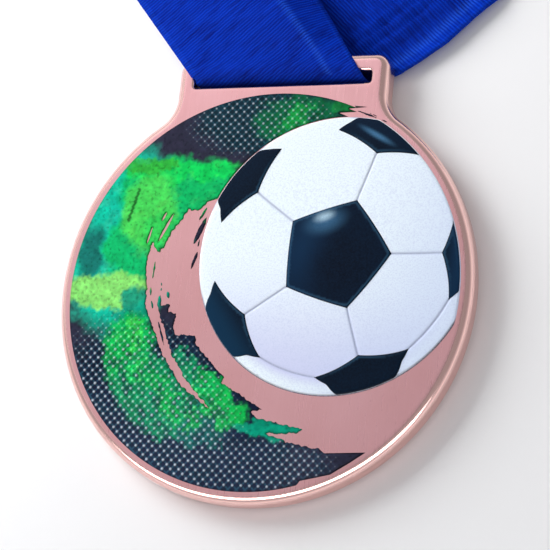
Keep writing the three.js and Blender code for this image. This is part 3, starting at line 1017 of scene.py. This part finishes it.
def raised_layer(name, loops, height, spacing, base=THICKNESS, edge=0.3, extra=None, dents=None):
    """A closed layer of ink over the area inside loops, rounded down at its edges and
    lowered where dents(points) says. Returns it with the flat points of its top."""
    added = []
    for distance in (0.05, 0.15, edge):
        for loop in loops:
            ring = inset(loop, distance)
            clear = edge_distance(ring, loops) > 0.9 * distance
            added.append(ring[clear & within(ring, loops)])
    if extra is not None:
        clear = within(extra, loops)
        clear &= edge_distance(extra, loops) > edge
        added.append(extra[clear])
    spread = edge + 0.4 * spacing
    flat, triangles = triangulated(loops, spacing, spread, np.concatenate(added))
    away = edge_distance(flat, loops)
    rise = height * np.sqrt(1 - (1 - np.clip(away / edge, 0, 1)) ** 2)
    if dents is not None:
        rise = rise * (1 - dents(flat))
    n = len(flat)
    rim = away < 1e-4
    top = np.column_stack([flat, base + np.where(rim, -SUNK, rise)])
    below = np.column_stack([flat, np.full(n, base - SUNK)])
    lower = np.where(rim, np.arange(n), np.arange(n) + n)
    faces = [tuple(int(i) for i in t) for t in triangles]
    faces += [tuple(int(lower[i]) for i in t[::-1]) for t in triangles]
    return make_object(name, on_medal(np.concatenate([top, below])), faces), flat


def painted(made, colours):
    """Colours for a layer's top, repeated on its underside."""
    add_attribute(made, "paint", np.concatenate([colours, colours]))


# The dotted parts of the turf: middle, half sizes, turn and strength
DOT_FIELDS = [
    (-14, -17.5, 16, 11, -40, 1.0), (0, -25, 13, 4, 5, 0.9), (-2, 23.6, 11, 4.8, 0, 0.75),
]


def dot_strength(points):
    """How strongly the turf is dotted at each point, 0 to 1."""
    shares = [power * ellipse_share(points, *place, 0.7, 1.15) for *place, power in DOT_FIELDS]
    return np.max(shares, axis=0)


def dot_places():
    """Raised dots stand on two square lattices, one at the middles of the other, where
    the turf is dotted and clear of its edges."""
    count = math.ceil(DISC_RADIUS / DOT_PITCH)
    steps = DOT_PITCH * np.arange(-count, count + 1)
    grid = np.array([(x + d, y + d) for d in (0, DOT_PITCH / 2) for x in steps for y in steps])
    loops = turf_loops()
    grid = grid[within(grid, loops)]
    grid = grid[edge_distance(grid, loops) > DOT_CLEAR]
    strength = dot_strength(grid)
    return grid[strength > 0.1], strength[strength > 0.1]


def make_turf():
    loops = turf_loops()
    made, flat = raised_layer("turf", loops, INK, spacing=0.22, edge=0.2)
    # Painted shade: the ink is darker within a fraction of a millimetre of its edges, as if its raised
    # sides were in shadow
    edge_shade = 0.5 + 0.5 * smooth(edge_distance(flat, loops), 0.02, 0.3)
    painted(made, turf_paint(flat) * edge_shade[:, None])
    dotted = dot_strength(flat)
    add_attribute(made, "dotted", np.concatenate([dotted, dotted]))
    return made


def make_dots():
    """Small glossy domes, with a painted highlight on the top of each."""
    places, strength = dot_places()
    colours = turf_paint(places)
    sides, tiers = 12, 5
    height = np.radians(90 * np.repeat(np.arange(tiers), sides) / tiers)
    turn = 2 * math.pi * np.tile(np.arange(sides), tiers) / sides
    dome = np.stack([np.cos(height) * np.cos(turn), np.cos(height) * np.sin(turn), np.sin(height)])
    dome = np.concatenate([dome.T, [(0, 0, 1)]])
    # Painted highlight: how strongly each tier of a dome is paled, rising to the top
    glint_rise = np.append(np.repeat(np.maximum(0, np.arange(tiers) / tiers - 0.3), sides), 1)
    vertices, faces, shades, painted_glints = [], [], [], []
    for (x, y), power, colour in zip(places, strength, colours):
        radius, rise = 0.15 + 0.14 * power, 0.05 + 0.1 * power
        start = len(vertices)
        vertices.extend(dome * (radius, radius, rise) + (x, y, THICKNESS + INK - SUNK))
        faces += wall_faces(start, tiers, sides)
        last = start + (tiers - 1) * sides
        faces += [(last + side, last + (side + 1) % sides, last + sides) for side in range(sides)]
        faces.append(tuple(start + side for side in reversed(range(sides))))
        shades += [colour] * len(dome)
        painted_glints += list(power * (1 - 0.9 * colour[1]) * glint_rise)
    made = make_object("turf_dots", on_medal(vertices), faces)
    add_attribute(made, "paint", shades)
    add_attribute(made, "painted_glint", painted_glints)
    return made


# ---- football

GOLDEN = math.atan(2)  # the angle between neighbouring pentagons' middles


def pentagon_middles():
    """The 12 corners of an icosahedron with one towards the viewer."""
    def ring(polar, first):
        turns = [math.radians(first + 72 * k) for k in range(5)]
        return [Vector((math.sin(polar) * math.cos(t), math.sin(polar) * math.sin(t),
                        math.cos(polar))) for t in turns]
    poles = [Vector((0, 0, 1)), Vector((0, 0, -1))]
    return poles[:1] + ring(GOLDEN, 0) + ring(math.pi - GOLDEN, 36) + poles[1:]


MIDDLES = pentagon_middles()


def corner_towards(i, j):
    """The corner of pentagon i that points at its neighbour j."""
    return (MIDDLES[i] * 2 + MIDDLES[j]).normalized()


def neighbours(i):
    """The five pentagons round pentagon i, in order anticlockwise."""
    near = [j for j in range(12) if 0.1 < (MIDDLES[i] - MIDDLES[j]).length < 1.1]
    across = MIDDLES[i].orthogonal().normalized()
    over = MIDDLES[i].cross(across)
    return sorted(near, key=lambda j: math.atan2(MIDDLES[j].dot(over), MIDDLES[j].dot(across)))


def on_face(point):
    """Where a point of the unit ball is printed. The ball is drawn as if seen from close
    to, so its pattern swells towards the middle and its middle is off the outline's."""
    spread = min(1.0, math.hypot(point.x, point.y))
    if point.z < 0:
        spread = 1.0
    turn = math.atan2(point.y, point.x)
    centre = PATTERN_CENTRE + (PATTERN_LIMB - PATTERN_CENTRE) * spread ** 4
    reach = PATTERN_RADIUS * (1.24 * spread - 0.24 * spread ** 3)
    towards = np.array([math.cos(turn), math.sin(turn)])
    limb = smooth(spread, 0.93, 1.0)
    return (centre + reach * towards) * (1 - limb) + (BALL_CENTRE + BALL_RADIUS * towards) * limb


def ball_path(a, b, steps):
    """Points from a to b along the ball's surface, a included and b not."""
    return [on_face(a.lerp(b, k / steps).normalized()) for k in range(steps)]


def held_in(points, gap):
    """Points kept gap inside the ball's outline and the print's, drawn in where needed."""
    for centre, radius in ((BALL_CENTRE, BALL_RADIUS), (np.zeros(2), PRINT_RADIUS)):
        outward = points - centre
        reach = np.hypot(*outward.T)
        points = centre + outward * np.minimum(1, (radius - gap) / reach)[:, None]
    return points


def pentagon_loop(i):
    """A black patch's outline, bulging slightly as stitched leather does."""
    corners = [corner_towards(i, j) for j in neighbours(i)]
    loop = []
    for a, b in zip(corners, corners[1:] + corners[:1]):
        if a.z > 0 or b.z > 0:
            loop += ball_path(a, b, 14)
    return held_in(np.array(loop), 0.12)


HIDDEN_SEAMS = {2, 3, 4}  # those that join these pentagons run along the ball's outline


def seam_paths():
    """The seams between white panels: the middle third of each line joining pentagons."""
    paths = []
    for i in range(12):
        for j in neighbours(i):
            a, b = corner_towards(i, j), corner_towards(j, i)
            if i < j and not {i, j} <= HIDDEN_SEAMS:
                points = [a.lerp(b, k / 24).normalized() for k in range(25)]
                paths.append(np.array([on_face(p) for p in points if p.z > 0.01]))
    return [path for path in paths if len(path) > 1]


SEAMS = seam_paths()


def seam_share(points):
    """1 on a seam's line, falling to 0 a fraction of a millimetre away."""
    return np.exp(-(edge_distance(points, SEAMS, closed=False) / 0.15) ** 2)


def seam_guides():
    """Mesh points along the seams and to both sides of them."""
    guides = []
    for path in SEAMS:
        across = leftwards(np.gradient(path, axis=0))
        guides += [path + across * d for d in (-0.36, -0.2, -0.1, 0, 0.1, 0.2, 0.36)]
    points = np.concatenate(guides)
    kept = []
    for point in points:
        if all(np.hypot(*(point - other)) > 0.05 for other in kept[-400:]):
            kept.append(point)
    return np.array(kept)


def ball_paint(points):
    """White leather, shaded lavender below and pale blue to the right, with grey seams and
    a dark line inside the lower part of its outline."""
    tone = np.tile(np.array(paint(236, 248, 255)), (len(points), 1))
    offset = (points - BALL_CENTRE) / BALL_RADIUS
    to_rim = BALL_RADIUS * (1 - np.hypot(*offset.T))
    low = 0.7 * smooth(-offset[:, 1] - offset[:, 0] * 0.15, 0.05, 0.95)
    tone = laid_over(tone, (190, 190, 236), low * smooth(to_rim, 0.8, 2.6))
    right = 0.55 * smooth(offset[:, 0] - 0.4 * offset[:, 1], -0.1, 1.0)
    tone = laid_over(tone, (196, 212, 246), right)
    tone = laid_over(tone, (136, 144, 178), 0.8 * seam_share(points))
    outline = (1 - smooth(to_rim, 0.06, 0.3)) * smooth(-offset[:, 1], 0.1, 0.5)
    return laid_over(tone, (40, 34, 52), outline)


def make_ball():
    loop = held_in(arc(BALL_CENTRE, BALL_RADIUS, 0, 360, 220)[:-1], 0)
    made, flat = raised_layer(
        "ball", [loop], BALL_INK, spacing=0.42, edge=0.35, extra=seam_guides(),
        dents=lambda points: 0.5 * seam_share(points))
    painted(made, ball_paint(flat))
    return made


PATCHES = {
    "ball_patch_middle": 0, "ball_patch_right": 1, "ball_patch_upper_right": 2,
    "ball_patch_upper_left": 3, "ball_patch_lower_left": 4, "ball_patch_bottom": 5,
}


# Light on the middle patch and on the upper right one, and the other patches' own colours
MIDDLE_SHEEN = [
    ((14, 44, 74), 6.0, 5.0, 5.2, 8.5, 0, 0.0, 0.9),
    ((4, 14, 30), 11.5, 3.0, 6.5, 6.0, 20, 0.2, 0.9),
    ((60, 104, 140), 8.8, 9.3, 3.8, 2.2, 18, 0.0, 0.9),
    ((176, 208, 226), 8.6, 10.0, 1.9, 0.9, 18, 0.0, 0.95),
]
UPPER_GLINT = ((70, 116, 152), 15.0, 21.6, 3.6, 0.55, -30, 0.0, 1)
PATCH_BODY = {1: (14, 42, 70), 2: (6, 24, 44), 3: (4, 20, 38), 4: (10, 46, 72), 5: (5, 18, 34)}


def patch_paint(points, loop, i):
    """Near black. The middle patch, 0, has a soft blue sheen and the others are bluer away
    from the ball's middle. A faint line runs inside the edges that are not far out."""
    if i == 0:
        shaded = blobs(points, MIDDLE_SHEEN, (4, 18, 36))
    else:
        inward = PATTERN_CENTRE - loop.mean(0)
        inward = inward / np.hypot(*inward)
        facing = (points - loop.mean(0)) @ inward
        share = smooth(facing, -facing.max() * 0.6, facing.max())
        body = np.tile(paint(*PATCH_BODY[i]), (len(points), 1))
        shaded = laid_over(body, (3, 14, 28), share)
        if i == 2:
            shaded = shaded + blobs(points, [UPPER_GLINT], (0, 0, 0))
    away = edge_distance(points, [loop])
    rim = np.exp(-((away - 0.28) / 0.12) ** 2)
    rim *= smooth(-np.hypot(*(points - PATTERN_CENTRE).T), -18.0, -15.0) * 0.3
    return shaded + rim[:, None] * np.array(paint(70, 116, 150))


def make_patches():
    made = []
    for name, i in PATCHES.items():
        loop = densified(pentagon_loop(i), 0.5)
        patch, flat = raised_layer(
            name.replace("ball", "black"), [loop], PATCH_INK, spacing=0.3,
            base=THICKNESS + BALL_INK, edge=0.3)
        painted(patch, patch_paint(flat, loop, i))
        made.append((patch, name))
    return made


# ---- stitching and tie

THREAD_RADIUS = 0.13
STITCH_PITCH = 1.25
STITCH_MARGIN = 2.0  # from the sewn box to the lap's edges


def add_stitch(vertices, faces, a, b, z):
    """One stitch: a short thread that arches from a to b."""
    a, b = np.array(a), np.array(b)
    side = (b - a) / np.hypot(*(b - a))
    across = np.array([-side[1], side[0]])
    start, rings, sides = len(vertices), 7, 6
    for k in range(rings):
        t = k / (rings - 1)
        middle = a + (b - a) * t
        lift = THREAD_RADIUS * math.sin(math.pi * t)
        radius = THREAD_RADIUS * (0.6 + 0.4 * math.sin(math.pi * t))
        for j in range(sides):
            turn = 2 * math.pi * j / sides
            flat = middle + across * radius * math.cos(turn)
            vertices.append((*flat, z + lift + radius * math.sin(turn)))
    faces += wall_faces(start, rings, sides)
    faces.append(tuple(start + j for j in reversed(range(sides))))
    faces.append(tuple(start + (rings - 1) * sides + j for j in range(sides)))


def make_stitching():
    """A sewn box with a cross in it, through both ends of the ribbon."""
    vertices, faces = [], []
    low, high = LAP_LOW[:2] + STITCH_MARGIN, LAP_HIGH[:2] - STITCH_MARGIN
    corners = [low, (high[0], low[1]), high, (low[0], high[1])]
    lines = list(zip(corners, corners[1:] + corners[:1])) + [(low, high)]
    lines.append((corners[1], corners[3]))
    for a, b in lines:
        a, b = np.array(a), np.array(b)
        count = round(np.hypot(*(b - a)) / STITCH_PITCH)
        for k in range(count):
            first, last = (a + (b - a) * (k + share) / count for share in (0.1, 0.85))
            add_stitch(vertices, faces, first, last, LAP_TOP)
    return make_object("box_stitching", vertices, faces)


TIE_CORNER = 0.9
TIE_CLEAR = 0.2  # between the band and the bundle


def make_tie():
    """An elastic band round the folded bundle, with wavy edges drawn in very slightly."""
    low, high = box_mm("tie_band")
    middle_z = (low[2] + high[2]) / 2
    profile = densified(rounded_box(0, (high - low)[1:] / 2, TIE_CORNER, 8), 0.7)
    thin = inset(profile, high[2] - BUNDLE_HIGH[2] - TIE_CLEAR)
    n = len(profile)
    vertices = []
    stations = np.linspace(0, 1, 9)
    for loop, offset in ((profile, 0), (thin, 1)):
        for t in stations:
            edge = 1 - (1 - abs(2 * t - 1) ** 6) ** 0.5
            for p, (y, z) in enumerate(loop):
                wave = 0.12 * math.sin(p * 0.35) * math.sin(p * 0.11)
                y, z = np.array([y, z]) * (1 - 0.004 * edge)
                vertices.append((low[0] + t * (high[0] - low[0]) + wave, BUNDLE_Y + y,
                                 middle_z + z))
    rows = len(stations)
    faces = wall_faces(0, rows, n, flip=True) + wall_faces(rows * n, rows, n)
    for k in (0, rows - 1):
        for p in range(n):
            a, b = k * n + p, k * n + (p + 1) % n
            quad = (a, b, b + rows * n, a + rows * n)
            faces.append(quad if k == 0 else quad[::-1])
    return make_object("tie", vertices, faces)


# ---- putting it together

def dress_medal():
    plate = dress(make_blank(), copper())
    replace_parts(plate, "medal_blank")
    ink = inked()
    turf = dress(make_turf(), ink)
    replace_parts(turf, "ink_field")
    dress(make_dots(), ink)
    ball = dress(make_ball(), ball_white())
    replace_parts(ball, "ball_ground")
    black = ball_black()
    for patch, node in make_patches():
        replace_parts(dress(patch, black), node)


def dress_ribbon():
    strip, length = make_ribbon()
    strip.data.materials.append(cloth())
    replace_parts(strip, "ribbon_slot_loop", "ribbon_front_strap", "ribbon_back_strap",
                "ribbon_bundle", "ribbon_lap")
    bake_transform(strip)
    stitching = dress(make_stitching(), thread_blue(), "ribbon")
    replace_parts(stitching, "lap_stitching")
    tie = dress(make_tie(), elastic(), "ribbon")
    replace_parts(tie, "tie_band")


dress_medal()
dress_ribbon()


# ---- room

def make_floor():
    """A wide pale floor, a hair below the ribbon so that the two don't coincide."""
    reach, z = 3000.0, FLOOR_Z - 0.02
    corners = [(-reach, -reach, z), (reach, -reach, z), (reach, reach, z), (-reach, reach, z)]
    floor = make_object("floor", corners, [(0, 1, 2, 3)], smooth=False)
    s = Surface("pale_floor", Roughness=0.9, Specular_IOR_Level=0.1)
    floor.data.materials.append(s.use(Base_Color=(0.93, 0.93, 0.94, 1)))


# Each area light: place, width and height, power, and what it doesn't show in
LIGHTS = [
    ("key", (-0.19, 0.13, 0.135), (0.18, 0.18), 0.86, "visible_glossy"),
    ("gleam", (-0.33, 0.24, 0.44), (0.56, 0.56), 0.5, "visible_diffuse"),
    ("soft", (-0.25, 0.32, 0.45), (0.25, 0.25), 0.16, None),
    ("edge", (-0.02, -0.24, 0.34), (0.8, 0.14), 2.4, "visible_diffuse"),
]


def make_light(name, place, size, power):
    """An area light, width by height, aimed at the middle of the medal."""
    data = bpy.data.lights.new(name, "AREA")
    data.shape = "RECTANGLE"
    data.size, data.size_y = size
    data.energy = power
    lamp = bpy.data.objects.new(name, data)
    lamp.location = place
    lamp.rotation_euler = (-Vector(place)).to_track_quat("-Z", "Y").to_euler()
    bpy.context.scene.collection.objects.link(lamp)
    return lamp


def make_room():
    """A pale floor and four lights: key lights the print, gleam and edge show only in
    reflections, and soft fills in. The world is brighter low down."""
    make_floor()
    for name, place, size, power, unseen in LIGHTS:
        lamp = make_light(name, place, size, power)
        if unseen:
            setattr(lamp, unseen, False)
    sky = Surface("studio", world=True)
    direction = sky.add("TexCoord").outputs["Generated"]
    height = sky.add("SeparateXYZ", {"Vector": direction}).outputs["Z"]
    low, high = ((level, level, level * 1.02) for level in (1.15, 0.38))
    bpy.context.scene.world = sky.use(Color=sky.ramp(height, (0.05, low), (0.6, high)))
    bpy.context.scene.view_settings.view_transform = "Standard"


make_room()
